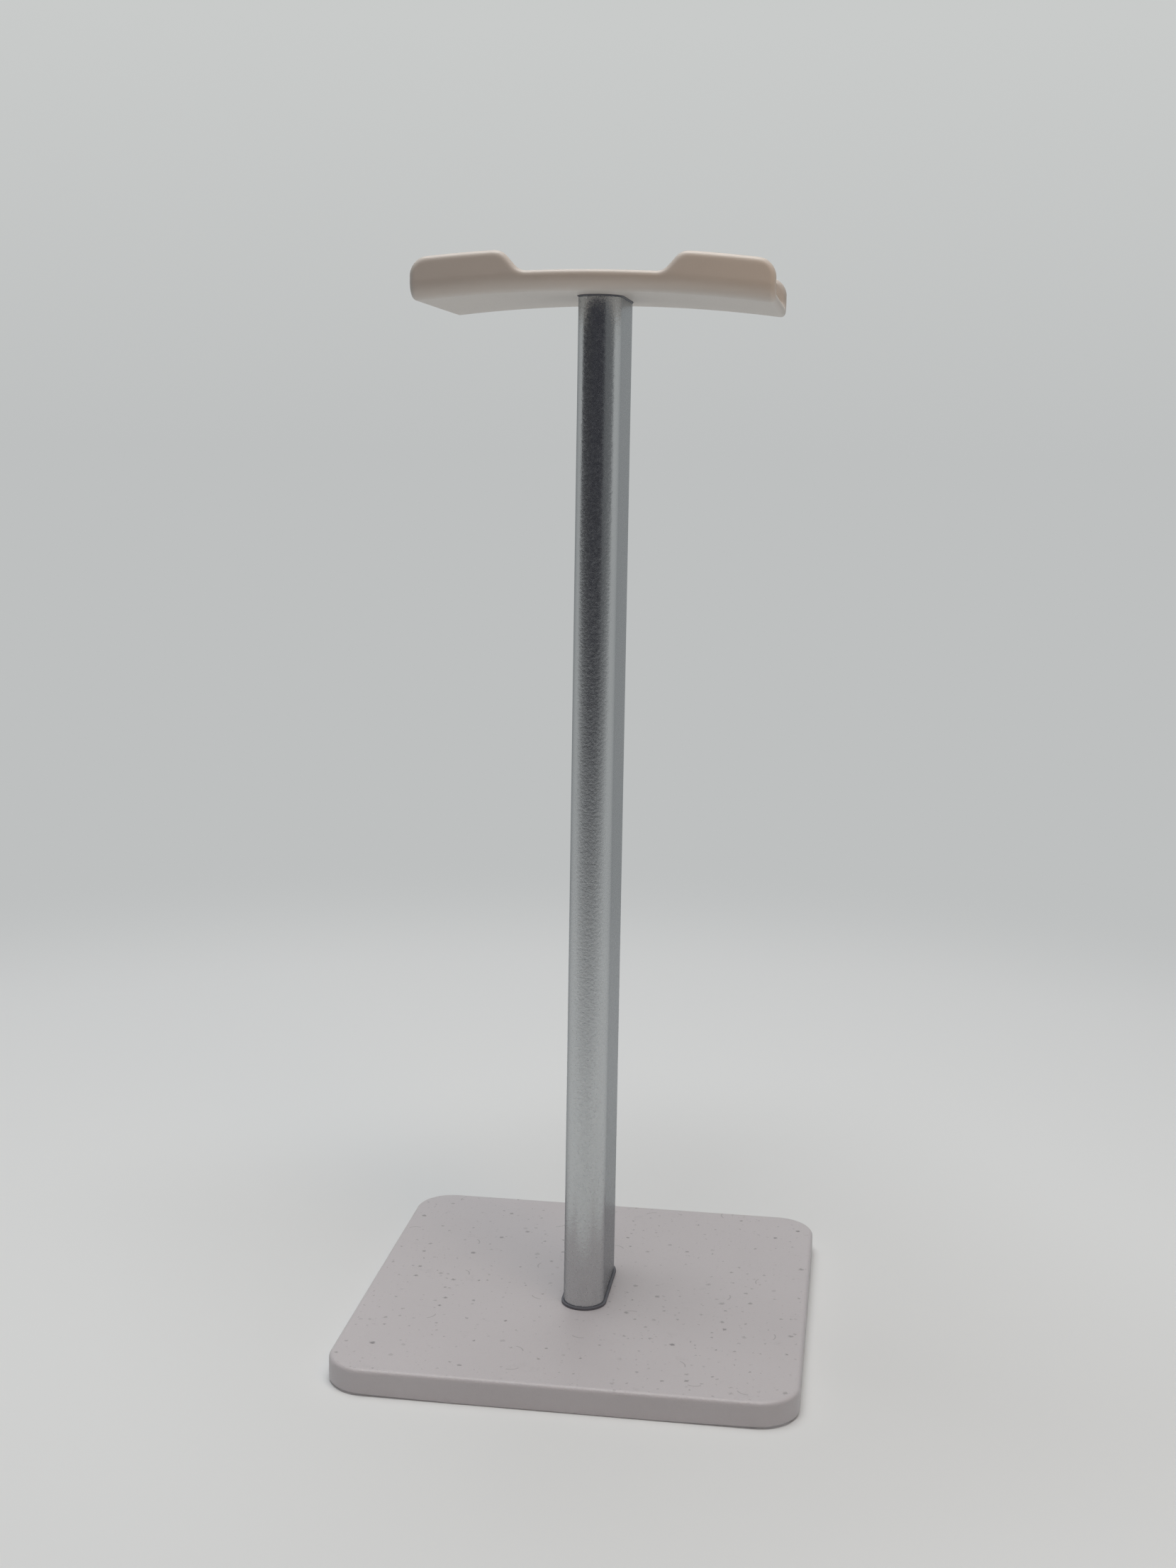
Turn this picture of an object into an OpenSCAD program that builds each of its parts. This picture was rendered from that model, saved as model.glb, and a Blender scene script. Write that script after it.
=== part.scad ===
// Headphone stand: a weighted square base, a slim aluminium column and a soft arched
// headrest. Millimetres, +Z up, origin on the table under the middle of the base.
// X runs along the headrest, Y runs across it, from the front (-Y) to the back (+Y).

/* [Base] */
// Side of the square base
base_size = 100; // [90:1:140]
// Radius of the base's corners, seen from above
base_corner_r = 9; // [6:0.5:16]
// Radius of the rounded top edge
base_edge_r = 1; // [0.4:0.1:1.1]
// Thickness of the shell's top wall
base_top_t = 1.2; // [1.2:0.1:2.5]
// Thickness of the shell's skirt
base_skirt_t = 1.8; // [1.2:0.1:3]
// Height of the skirt's lower edge above the table
skirt_gap = 0.2; // [0.1:0.1:0.5]
// How much higher the skirt's lower edge is at the corners
corner_lift = 0.5; // [0.2:0.1:0.8]
// Length of each lifted stretch, measured from the corner
corner_lift_len = 27; // [15:1:35]
// Thickness of the steel ballast plate
ballast_t = 2.5; // [2.4:0.1:6]
// Thickness of the bottom cover
cover_t = 1.2; // [1.2:0.1:2]

/* [Feet] */
// Diameter of a rubber foot
foot_d = 12; // [8:0.5:16]
// Distance from the base's edge to a foot's centre
foot_inset = 13; // [12:0.5:20]
// Height of the bottom cover above the table
foot_stand = 0.8; // [0.6:0.1:2]
// Depth of a foot's recess in the bottom cover
foot_recess = 0.6; // [0.3:0.1:0.8]

/* [Column] */
// Width of the column along X
column_w = 9.2; // [8.4:0.1:12]
// Depth of the column along Y
column_d = 26; // [24:0.5:34]
// Length of the column
column_len = 220.7; // [150:0.1:260]
// Wall around the column's middle chamber
column_wall = 1.4; // [1:0.1:1.8]
// Corner radius of the middle chamber
chamber_r = 1; // [0.5:0.1:2]
// Distance between the column's two screw channels
channel_pitch = 17; // [15:0.5:19]
// Wall between a screw channel and the middle chamber
channel_wall = 1.6; // [1:0.1:2]

/* [Gaskets] */
// Thickness of the gasket under the column
foot_gasket_t = 0.6; // [0.4:0.1:1.5]
// How far the foot gasket stands out around the column
foot_gasket_lip = 0.5; // [0.2:0.1:1]
// Thickness of the gasket on top of the column
head_gasket_t = 0.4; // [0.3:0.1:1]
// How far the head gasket stands out around the column
head_gasket_lip = 0.15; // [0.1:0.05:0.5]

/* [Headrest] */
// Length of the headrest along X
headrest_len = 74; // [64:1:90]
// Depth of the headrest along Y, over its flanges
headrest_d = 49; // [45:0.5:60]
// Wall thickness of the headrest
headrest_wall = 2.5; // [2.2:0.1:3.5]
// Radius of the arch, measured on the underside
arch_r = 300; // [200:5:500]
// Outer radius of the bend between floor and flange
bend_r = 3.8; // [3.6:0.1:6]
// Height of the raised ears above the underside
ear_h = 8.3; // [7:0.1:14]
// Height of the low rim between the ears
notch_h = 4.05; // [3.5:0.05:6]
// Distance from the middle to the ear's slope
slope_x = 16.3; // [12:0.1:20]
// Steepness of the ear's slope
slope_angle = 48; // [40:1:60]
// Radius of the ear's outer corner
ear_outer_r = 4; // [2:0.1:6]
// Radius at the top of the ear's slope
ear_inner_r = 3.5; // [1:0.1:4]
// Radius at the foot of the ear's slope
notch_r = 3; // [1:0.1:4]
// Depth of the flat seat that the head gasket sits in
seat_depth = 0.1; // [0.1:0.1:0.4]

/* [Clamp plate] */
// Width of the clamp plate along X
plate_w = 12; // [10:0.5:16]
// Length of the clamp plate along Y
plate_len = 28; // [27:0.5:28]
// Thickness of the clamp plate
plate_t = 1.5; // [1:0.1:1.6]

/* [Column screws] */
// Nominal diameter of the screws at both ends of the column
screw_d = 4; // [3:0.5:4]
// Diameter of their countersunk heads
screw_head_d = 8; // [6.5:0.1:8]
// Height of a head's straight rim
screw_head_rim = 0.3; // [0.2:0.05:0.4]
// Length of a lower screw
lower_screw_len = 16; // [12:1:25]
// Length of an upper screw
upper_screw_len = 12; // [10:1:20]

/* [Cover screws] */
// Nominal diameter of the bottom cover's screws
cover_screw_d = 2.5; // [2:0.1:2.6]
// Diameter of their countersunk heads
cover_head_d = 4.7; // [4.2:0.1:4.7]
// Height of a head's straight rim
cover_head_rim = 0.1; // [0.05:0.05:0.1]
// Length of a cover screw
cover_screw_len = 3.6; // [2.5:0.1:3.7]
// Diameter of a screw boss in the shell
boss_d = 6; // [5:0.5:10]
// Distance from the base's edge to a boss's axis
boss_inset = 10; // [8:0.5:20]

/* [Clearances] */
// Around a screw's shank in a plain hole
shank_clear = 0.2; // [0.1:0.05:0.4]
// Around a screw's thread in its tapped hole, and between a head and its countersink
thread_clear = 0.05; // [0.02:0.01:0.1]
// Around the ballast plate
ballast_clear = 0.5; // [0.2:0.1:1]
// Around the bottom cover, and around the clamp plate
cover_clear = 0.15; // [0.1:0.05:0.3]
// Between the ballast plate and the bottom cover
stack_clear = 0.1; // [0.05:0.05:0.3]
// Around a foot in its recess
foot_clear = 0.15; // [0.1:0.05:0.3]

/* [Hidden] */

// Overshoot of a cutter past the face that it cuts
cut = 1;
$fn = 96;

// Heights of the stack, from the table upwards
cover_top_z = foot_stand + cover_t;
ballast_z = cover_top_z + stack_clear;
ballast_top_z = ballast_z + ballast_t;
base_top_z = ballast_top_z + base_top_t;
column_z = base_top_z + foot_gasket_t;
column_top_z = column_z + column_len;
seat_z = column_top_z + head_gasket_t;
headrest_z = seat_z - seat_depth;
floor_top_z = headrest_z + headrest_wall;

// The cavity inside the base's skirt
cavity_size = base_size - 2 * base_skirt_t;
cavity_r = base_corner_r - base_skirt_t;

// Screw heads are 90 degree cones with a short straight rim
screw_head_h = screw_head_rim + (screw_head_d - screw_d) / 2;
cover_head_h = cover_head_rim + (cover_head_d - cover_screw_d) / 2;
// Plain hole in the headrest, wide enough for the part of the cone below the plate
headrest_hole_d = max(screw_d, screw_head_d - 2 * (plate_t - screw_head_rim)) + 2 * shank_clear;

// Screw recess: two crossed slots
slot_share = [0.5, 0.12];

// ---------- plain shapes ----------

// Square with round corners
module rounded_square(w, r) {
    square([w - 2 * r, w], center = true);
    square([w, w - 2 * r], center = true);
    for (x = [-1, 1], y = [-1, 1])
        translate([x, y] * (w / 2 - r)) circle(r);
}

// Oblong with half-round ends, w wide along X and d long along Y
module oblong(w, d) {
    square([w, d - w], center = true);
    for (y = [-1, 1])
        translate([0, y * (d - w) / 2]) circle(d = w);
}

// Half section of a slab's edge: reach out from the axis, height h, top edge rounded by f
module edge_section(reach, h, f) {
    square([reach - f, h]);
    square([reach, h - f]);
    translate([reach - f, h - f]) circle(f);
}

// Square slab with round corners and a rounded top edge
module rounded_slab(w, r, h, f) {
    side = w - 2 * r;
    for (x = [-1, 1], y = [-1, 1])
        translate([x * side / 2, y * side / 2, 0])
            rotate_extrude() edge_section(r, h, f);
    for (a = [0, 90, 180, 270])
        rotate([0, 0, a])
            translate([0, side / 2, 0])
                rotate([90, 0, 0])
                    linear_extrude(side) edge_section(w / 2, h, f);
}

// The two column screws' places
module at_channels() {
    for (y = [-1, 1])
        translate([0, y * channel_pitch / 2, 0]) children();
}

// The four cover screws' places, one at the middle of each side
module at_bosses() {
    for (a = [0, 90, 180, 270])
        rotate([0, 0, a])
            translate([base_size / 2 - boss_inset, 0, 0]) children();
}

// A foot's place: side is -1 left or 1 right, end is -1 front or 1 rear
module at_foot(side, end) {
    reach = base_size / 2 - foot_inset;
    translate([side * reach, end * reach, 0]) children();
}

// Countersunk screw: head face at z = 0, tip at z = len
module countersunk_screw(d, head_d, rim, len) {
    cone_h = (head_d - d) / 2;
    difference() {
        union() {
            cylinder(d = head_d, h = rim);
            translate([0, 0, rim]) cylinder(d1 = head_d, d2 = d, h = cone_h);
            cylinder(d = d, h = len);
        }
        for (a = [0, 90])
            rotate([0, 0, a])
                translate([0, 0, rim + cone_h / 4 - cut / 2])
                    cube([head_d * slot_share[0], head_d * slot_share[1],
                          rim + cone_h / 2 + cut], center = true);
    }
}

// Hole for such a screw: plain shank hole with a countersink, from z = -cut to z = len
module countersunk_hole(d, head_d, rim, len) {
    cone_h = (head_d - d) / 2;
    wide = head_d + 2 * thread_clear;
    translate([0, 0, -cut]) cylinder(d = wide, h = cut + rim);
    translate([0, 0, rim]) cylinder(d1 = wide, d2 = wide - 2 * cone_h, h = cone_h);
    translate([0, 0, -cut]) cylinder(d = d + 2 * shank_clear, h = len + cut);
}

// ---------- base ----------

// Wedges that lift the skirt's lower edge at the four corners
module corner_lifts() {
    far = base_size / 2 + cut;
    near = base_size / 2 - corner_lift_len;
    rise = skirt_gap + corner_lift * (far - near) / corner_lift_len;
    intersection_for (turn = [0, 90])
        rotate([0, 0, turn])
            for (side = [0, 180])
                rotate([0, 0, side])
                    translate([0, base_size, 0])
                        rotate([90, 0, 0])
                            linear_extrude(2 * base_size)
                                polygon([[near, skirt_gap - cut], [far, skirt_gap - cut],
                                         [far, rise], [near, skirt_gap]]);
}

module base_shell() {
    color("#cfcbcd")
        difference() {
            union() {
                difference() {
                    translate([0, 0, skirt_gap])
                        rounded_slab(base_size, base_corner_r, base_top_z - skirt_gap, base_edge_r);
                    translate([0, 0, skirt_gap - cut])
                        linear_extrude(ballast_top_z - skirt_gap + cut)
                            rounded_square(cavity_size, cavity_r);
                }
                at_bosses()
                    translate([0, 0, cover_top_z])
                        cylinder(d = boss_d, h = base_top_z - base_top_t / 2 - cover_top_z);
            }
            at_bosses()
                translate([0, 0, cover_top_z - cut])
                    cylinder(d = cover_screw_d + 2 * thread_clear, h = ballast_top_z - cover_top_z + cut);
            at_channels()
                translate([0, 0, ballast_top_z - cut])
                    cylinder(d = screw_d + 2 * shank_clear, h = base_top_t + 2 * cut);
            corner_lifts();
        }
}

module ballast_plate() {
    color("#8a8d90")
        translate([0, 0, ballast_z])
            difference() {
                linear_extrude(ballast_t)
                    rounded_square(cavity_size - 2 * ballast_clear, cavity_r - ballast_clear);
                at_bosses()
                    translate([0, 0, -cut])
                        cylinder(d = boss_d + 2 * ballast_clear, h = ballast_t + 2 * cut);
                at_channels()
                    countersunk_hole(screw_d, screw_head_d, screw_head_rim, ballast_t + cut);
            }
}

module base_bottom_cover() {
    color("#d2cfce")
        translate([0, 0, foot_stand])
            difference() {
                linear_extrude(cover_t)
                    rounded_square(cavity_size - 2 * cover_clear, cavity_r - cover_clear);
                at_bosses()
                    countersunk_hole(cover_screw_d, cover_head_d, cover_head_rim, cover_t + cut);
                for (side = [-1, 1], end = [-1, 1])
                    at_foot(side, end)
                        translate([0, 0, -cut])
                            cylinder(d = foot_d + 2 * foot_clear, h = foot_recess + cut);
            }
}

module cover_screws() {
    color("#b9bcc0")
        at_bosses()
            translate([0, 0, foot_stand])
                countersunk_screw(cover_screw_d, cover_head_d, cover_head_rim, cover_screw_len);
}

// Rubber foot in its recess, side and end as in at_foot
module foot(side, end) {
    color("#2e2f31")
        at_foot(side, end)
            cylinder(d = foot_d, h = foot_stand + foot_recess);
}

// ---------- column ----------

module column_foot_gasket() {
    color("#606168")
        translate([0, 0, base_top_z])
            difference() {
                linear_extrude(foot_gasket_t)
                    oblong(column_w + 2 * foot_gasket_lip, column_d + 2 * foot_gasket_lip);
                at_channels()
                    translate([0, 0, -cut])
                        cylinder(d = screw_d + 2 * shank_clear, h = foot_gasket_t + 2 * cut);
            }
}

// Extrusion with two screw channels and a chamber between them
module column() {
    chamber_w = column_w - 2 * column_wall;
    chamber_d = channel_pitch - screw_d - 2 * thread_clear - 2 * channel_wall;
    color("#c8cacb")
        translate([0, 0, column_z])
            difference() {
                linear_extrude(column_len) oblong(column_w, column_d);
                at_channels()
                    translate([0, 0, -cut])
                        cylinder(d = screw_d + 2 * thread_clear, h = column_len + 2 * cut);
                translate([0, 0, -cut])
                    linear_extrude(column_len + 2 * cut) {
                        square([chamber_w - 2 * chamber_r, chamber_d], center = true);
                        square([chamber_w, chamber_d - 2 * chamber_r], center = true);
                        for (x = [-1, 1], y = [-1, 1])
                            translate([x * (chamber_w / 2 - chamber_r), y * (chamber_d / 2 - chamber_r)])
                                circle(chamber_r);
                    }
            }
}

module column_lower_screws() {
    color("#b9bcc0")
        translate([0, 0, ballast_z])
            at_channels()
                countersunk_screw(screw_d, screw_head_d, screw_head_rim, lower_screw_len);
}

module column_head_gasket() {
    color("#606168")
        translate([0, 0, column_top_z])
            difference() {
                linear_extrude(head_gasket_t)
                    oblong(column_w + 2 * head_gasket_lip, column_d + 2 * head_gasket_lip);
                at_channels()
                    translate([0, 0, -cut])
                        cylinder(d = screw_d + 2 * shank_clear, h = head_gasket_t + 2 * cut);
            }
}

// ---------- headrest ----------

// Points of an arc about centre c, from angle a0 to angle a1
function arc(c, r, a0, a1, steps) =
    [for (i = [0:steps])
        let (a = a0 + (a1 - a0) * i / steps)
        [c[0] + r * cos(a), c[1] + r * sin(a)]];

// Angle of point p seen from the arch's axis
function bearing(p) = atan2(p[1], p[0]);

// Where a line from p along direction d reaches the distance r from the arch's axis
function reach(p, d, r) = p + d * (-p * d + sqrt((p * d) * (p * d) - p * p + r * r));

// Right half of the headrest's front outline, from the outer end to the middle.
// The arch's axis is at [0, 0], so every height is a radius.
function half_outline() =
    let (
        ear_top = arch_r + ear_h,
        notch_top = arch_r + notch_h,
        half = headrest_len / 2,
        run = [cos(slope_angle), sin(slope_angle)],
        inward = [sin(slope_angle), -cos(slope_angle)],
        mid_r = (ear_top + notch_top) / 2,
        mid = [slope_x, sqrt(mid_r * mid_r - slope_x * slope_x)],
        outer_x = half - ear_outer_r,
        outer = [outer_x, sqrt(pow(ear_top - ear_outer_r, 2) - outer_x * outer_x)],
        upper = reach(mid + inward * ear_inner_r, run, ear_top - ear_inner_r),
        lower = reach(mid - inward * notch_r, run, notch_top + notch_r)
    )
    concat(
        [[half, arch_r - 2 * ear_h]],
        arc(outer, ear_outer_r, 0, bearing(outer), 10),
        arc([0, 0], ear_top, bearing(outer), bearing(upper), 10),
        arc(upper, ear_inner_r, bearing(upper), slope_angle + 90, 8),
        arc(lower, notch_r, slope_angle - 90, bearing(lower) - 180, 8),
        arc([0, 0], notch_top, bearing(lower), 90, 8)
    );

// Whole front outline, mirrored about the middle
function front_outline() =
    let (right = half_outline(), last = len(right) - 1)
    concat(right, [for (i = [last - 1:-1:0]) [-right[i][0], right[i][1]]]);

// Rounded bottom of a trough that is w wide, with its floor at height 0 and bends of radius r
module trough_section(w, r, h) {
    translate([0, -(w / 2 - r)]) square([h, w - 2 * r]);
    translate([r, -w / 2]) square([max(h - r, r), w]);
    for (y = [-1, 1])
        translate([r, y * (w / 2 - r)]) circle(r);
}

// Section of the headrest across the arch: floor, two bends and two flanges
module headrest_section(h) {
    inner_w = headrest_d - 2 * headrest_wall;
    intersection() {
        difference() {
            trough_section(headrest_d, bend_r, h);
            translate([headrest_wall, 0])
                trough_section(inner_w, bend_r - headrest_wall, h + cut);
        }
        translate([0, -headrest_d / 2]) square([h, headrest_d]);
    }
}

module headrest() {
    swept_h = ear_h + cut;
    sweep = 2 * asin((headrest_len / 2 + 4 * cut) / arch_r);
    color("#ccc4bb")
        difference() {
            translate([0, 0, headrest_z - arch_r])
                rotate([90, 0, 0])
                    intersection() {
                        rotate([0, 0, 90 - sweep / 2])
                            rotate_extrude(angle = sweep, $fn = 720)
                                translate([arch_r, 0]) headrest_section(swept_h);
                        linear_extrude(headrest_d + 2 * cut, center = true)
                            polygon(front_outline());
                    }
            // Flat seat for the head gasket
            translate([0, 0, headrest_z - cut])
                linear_extrude(seat_depth + cut)
                    oblong(column_w + 2 * (head_gasket_lip + cover_clear),
                           column_d + 2 * (head_gasket_lip + cover_clear));
            // Recess that brings the clamp plate flush with the floor
            translate([0, 0, floor_top_z - plate_t])
                linear_extrude(plate_t + cut)
                    oblong(plate_w + 2 * cover_clear, plate_len + 2 * cover_clear);
            at_channels()
                translate([0, 0, headrest_z - cut])
                    cylinder(d = headrest_hole_d, h = headrest_wall + 2 * cut);
        }
}

module headrest_clamp_plate() {
    color("#9a9da1")
        translate([0, 0, floor_top_z])
            mirror([0, 0, 1])
                difference() {
                    linear_extrude(plate_t) oblong(plate_w, plate_len);
                    at_channels()
                        countersunk_hole(screw_d, screw_head_d, screw_head_rim, plate_t + cut);
                }
}

module headrest_screws() {
    color("#b9bcc0")
        translate([0, 0, floor_top_z])
            mirror([0, 0, 1])
                at_channels()
                    countersunk_screw(screw_d, screw_head_d, screw_head_rim, upper_screw_len);
}

base_shell();
ballast_plate();
base_bottom_cover();
cover_screws();
foot(-1, -1);  // foot_front_left
foot(1, -1);  // foot_front_right
foot(-1, 1);  // foot_rear_left
foot(1, 1);  // foot_rear_right
column_foot_gasket();
column();
column_lower_screws();
column_head_gasket();
headrest();
headrest_clamp_plate();
headrest_screws();
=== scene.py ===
"""Looks of the headphone stand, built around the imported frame.

A weighted moulded base on rubber feet carries a bead-blasted aluminium column between
two rubber gaskets, and an arched soft headrest is clamped to its top end.
Sizes in the stand's classes are millimetres, those of the studio are metres unless it
says otherwise, and the meshes are in metres.
"""

import logging
import math
from dataclasses import dataclass, field
from enum import Enum
from functools import partial
from typing import Any, Callable, Iterable, Mapping, Sequence

import bmesh
import bpy
import numpy as np
from mathutils import Matrix, Vector


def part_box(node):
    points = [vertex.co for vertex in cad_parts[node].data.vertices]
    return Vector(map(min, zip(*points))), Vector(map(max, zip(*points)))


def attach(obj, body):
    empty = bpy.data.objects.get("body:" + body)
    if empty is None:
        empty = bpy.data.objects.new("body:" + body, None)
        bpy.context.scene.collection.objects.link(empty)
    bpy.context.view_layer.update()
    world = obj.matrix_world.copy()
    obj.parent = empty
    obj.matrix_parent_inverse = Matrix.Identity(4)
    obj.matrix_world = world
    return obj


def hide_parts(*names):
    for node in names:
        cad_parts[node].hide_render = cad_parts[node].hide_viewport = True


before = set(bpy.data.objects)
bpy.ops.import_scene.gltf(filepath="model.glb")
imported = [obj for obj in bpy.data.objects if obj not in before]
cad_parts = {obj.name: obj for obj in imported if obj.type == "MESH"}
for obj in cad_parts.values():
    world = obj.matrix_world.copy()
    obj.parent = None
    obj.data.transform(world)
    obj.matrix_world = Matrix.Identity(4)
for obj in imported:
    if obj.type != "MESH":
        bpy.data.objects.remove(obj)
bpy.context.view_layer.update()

MM = 0.001
QUARTER = math.pi / 2
# Points nearer than this, in millimetres, are one point
TOUCHING = 0.0001
# Path points nearer than this, in millimetres, are the same point
SAME = 1e-6
# Distance between the column's two screw channels, in millimetres, and their places
CHANNEL_PITCH = 17.0
CHANNEL_SPOTS = [(0.0, side * CHANNEL_PITCH / 2 * MM) for side in (-1, 1)]
# Nearly all of a noise texture's values lie between these two
NOISE_SPAN = {"From Min": 0.3, "From Max": 0.7}
# Signs of a rectangle's corners, counter-clockwise
CORNERS = ((-1, -1), (1, -1), (1, 1), (-1, 1))
ROOT = "root"
LOG = logging.getLogger("headphone_stand")

AddNode = Callable[..., bpy.types.Node]


class Facing(Enum):
    """Which way a screw's head looks."""

    UP = "up"
    DOWN = "down"


# ---------------------------------------------------------------------------
# Small tools
# ---------------------------------------------------------------------------


def linear(colour: str) -> tuple[float, float, float, float]:
    """Turns an sRGB hex colour to linear light.

    Args:
        colour: a colour such as "#dcd8d9".

    Returns:
        Red, green, blue and an alpha of 1.
    """
    parts = [int(colour[i : i + 2], 16) / 255 for i in (1, 3, 5)]
    red, green, blue = (p / 12.92 if p <= 0.04045 else ((p + 0.055) / 1.055) ** 2.4 for p in parts)
    return red, green, blue, 1.0


def add_node(
    tree: bpy.types.NodeTree,
    kind: str,
    feeds: Mapping[str | int, Any] | None = None,
    **settings: Any,
) -> bpy.types.Node:
    """Adds one node with its settings and links.

    Args:
        tree: the node tree that gets it.
        kind: the node's type name.
        feeds: for each input, by name or index, a value, a socket, a node whose first
            output is meant, or a list of these for an input that joins several.
        settings: the node's own properties.

    Returns:
        The new node.
    """
    node = tree.nodes.new(kind)
    for name, value in settings.items():
        setattr(node, name, value)
    for key, value in (feeds or {}).items():
        for item in value if isinstance(value, list) else [value]:
            source = item.outputs[0] if isinstance(item, bpy.types.Node) else item
            if isinstance(source, bpy.types.NodeSocket):
                tree.links.new(source, node.inputs[key])
            else:
                node.inputs[key].default_value = source
    return node


def bare_nodes(owner: bpy.types.Material | bpy.types.World) -> AddNode:
    """Gives a material or world an empty node tree.

    Args:
        owner: the material or world.

    Returns:
        add_node for that tree.
    """
    owner.use_nodes = True
    owner.node_tree.nodes.clear()
    return partial(add_node, owner.node_tree)


def new_object(name: str, data: bpy.types.ID) -> bpy.types.Object:
    """Makes an object at the origin and links it to the scene.

    Args:
        name: the object's name.
        data: its mesh, lamp or camera data.

    Returns:
        The new object.
    """
    piece = bpy.data.objects.new(name, data)
    bpy.context.scene.collection.objects.link(piece)
    return piece


def mesh_of(name: str, points: np.ndarray, faces: Sequence[Sequence[int]]) -> bpy.types.Mesh:
    """Makes a mesh from points in millimetres.

    Args:
        name: the mesh's name.
        points: one row for each point.
        faces: point numbers of each face, counter-clockwise from outside.

    Returns:
        The new mesh.
    """
    mesh = bpy.data.meshes.new(name)
    mesh.from_pydata((np.asarray(points, float) * MM).tolist(), [], [list(map(int, f)) for f in faces])
    mesh.update()
    return mesh


def loft(name: str, loops: Sequence[np.ndarray]) -> bpy.types.Mesh:
    """Skins closed loops into a closed solid with a face at each end.

    Args:
        name: the mesh's name.
        loops: rings of points in order along the solid, all with the same count.

    Returns:
        The solid's mesh, with its faces pointing outwards.
    """
    count = len(loops[0])
    ring = np.arange(count)
    after = np.roll(ring, -1)
    faces: list[Sequence[int]] = [ring[::-1], ring + (len(loops) - 1) * count]
    for i in range(len(loops) - 1):
        low, high = i * count, (i + 1) * count
        faces += np.column_stack([ring + low, after + low, after + high, ring + high]).tolist()
    mesh = mesh_of(name, np.vstack(loops), faces)
    work = bmesh.new()
    work.from_mesh(mesh)
    bmesh.ops.recalc_face_normals(work, faces=work.faces)
    work.to_mesh(mesh)
    work.free()
    return mesh


def circle(radius: float, z: float, count: int = 64) -> np.ndarray:
    """Ring of points about the Z axis.

    Args:
        radius: its radius.
        z: its height.
        count: how many points it has.

    Returns:
        The points, one row each.
    """
    turn = np.linspace(0, 2 * math.pi, count, endpoint=False)
    return np.column_stack([radius * np.cos(turn), radius * np.sin(turn), np.full(count, z)])


def oblong(width: float, depth: float, z: float, count: int = 24) -> np.ndarray:
    """Ring of points round an oblong with half-round ends.

    Args:
        width: its width along X.
        depth: its depth along Y.
        z: its height.
        count: steps in each half-round end.

    Returns:
        The points, one row each.
    """
    turn = np.linspace(0, math.pi, count + 1)
    half = np.column_stack([np.cos(turn), np.sin(turn)]) * width / 2 + [0, (depth - width) / 2]
    flat = np.vstack([half, -half])
    return np.column_stack([flat, np.full(len(flat), z)])


def plain_mesh(piece: bpy.types.Object, sharp: float = 30.0) -> None:
    """Turns a piece's modifiers into its mesh and shades it smooth between its sharp edges.

    Args:
        piece: the piece, with its modifiers.
        sharp: smallest angle of a sharp edge, in degrees.
    """
    held = piece.evaluated_get(bpy.context.evaluated_depsgraph_get())
    mesh = bpy.data.meshes.new_from_object(held)
    piece.modifiers.clear()
    piece.data = mesh
    mesh.polygons.foreach_set("use_smooth", np.ones(len(mesh.polygons), bool))
    mesh.set_sharp_from_angle(angle=math.radians(sharp))


def cut(piece: bpy.types.Object, cutters: Iterable[bpy.types.Mesh]) -> None:
    """Cuts solids out of a piece, and joins the points that touch afterwards.

    Args:
        piece: the piece that is cut.
        cutters: meshes of the solids, which are used up.
    """
    tools = [new_object(mesh.name, mesh) for mesh in cutters]
    for tool in tools:
        made = piece.modifiers.new(tool.name, "BOOLEAN")
        made.operation, made.solver, made.object = "DIFFERENCE", "EXACT", tool
    plain_mesh(piece)
    for tool in tools:
        bpy.data.objects.remove(tool)
    work = bmesh.new()
    work.from_mesh(piece.data)
    bmesh.ops.remove_doubles(work, verts=work.verts, dist=TOUCHING * MM)
    work.to_mesh(piece.data)
    work.free()


def dress(piece: bpy.types.Object, material: bpy.types.Material) -> None:
    """Gives a piece one material.

    Args:
        piece: the piece.
        material: its material.
    """
    piece.data.materials.clear()
    piece.data.materials.append(material)


def seat(piece: bpy.types.Object, slot: str, *nodes: str) -> None:
    """Puts a finished piece on the frame in place of its CAD nodes.

    Args:
        piece: the finished piece.
        slot: the record's material slot for it; it is not used.
        nodes: the CAD nodes that it stands for.
    """
    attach(piece, ROOT)
    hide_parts(*nodes)
    LOG.info("%s: %d faces", piece.name, len(piece.data.polygons))


def dress_node(node: str, finish: "Finish") -> None:
    """Gives a CAD node that is shown as it is its finish.

    Args:
        node: the CAD node.
        finish: its finish.
    """
    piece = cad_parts[node]
    dress(piece, finish.material())
    LOG.info("%s: dressed as %s", node, finish.name)


# ---------------------------------------------------------------------------
# Geometry Nodes
# ---------------------------------------------------------------------------


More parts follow.
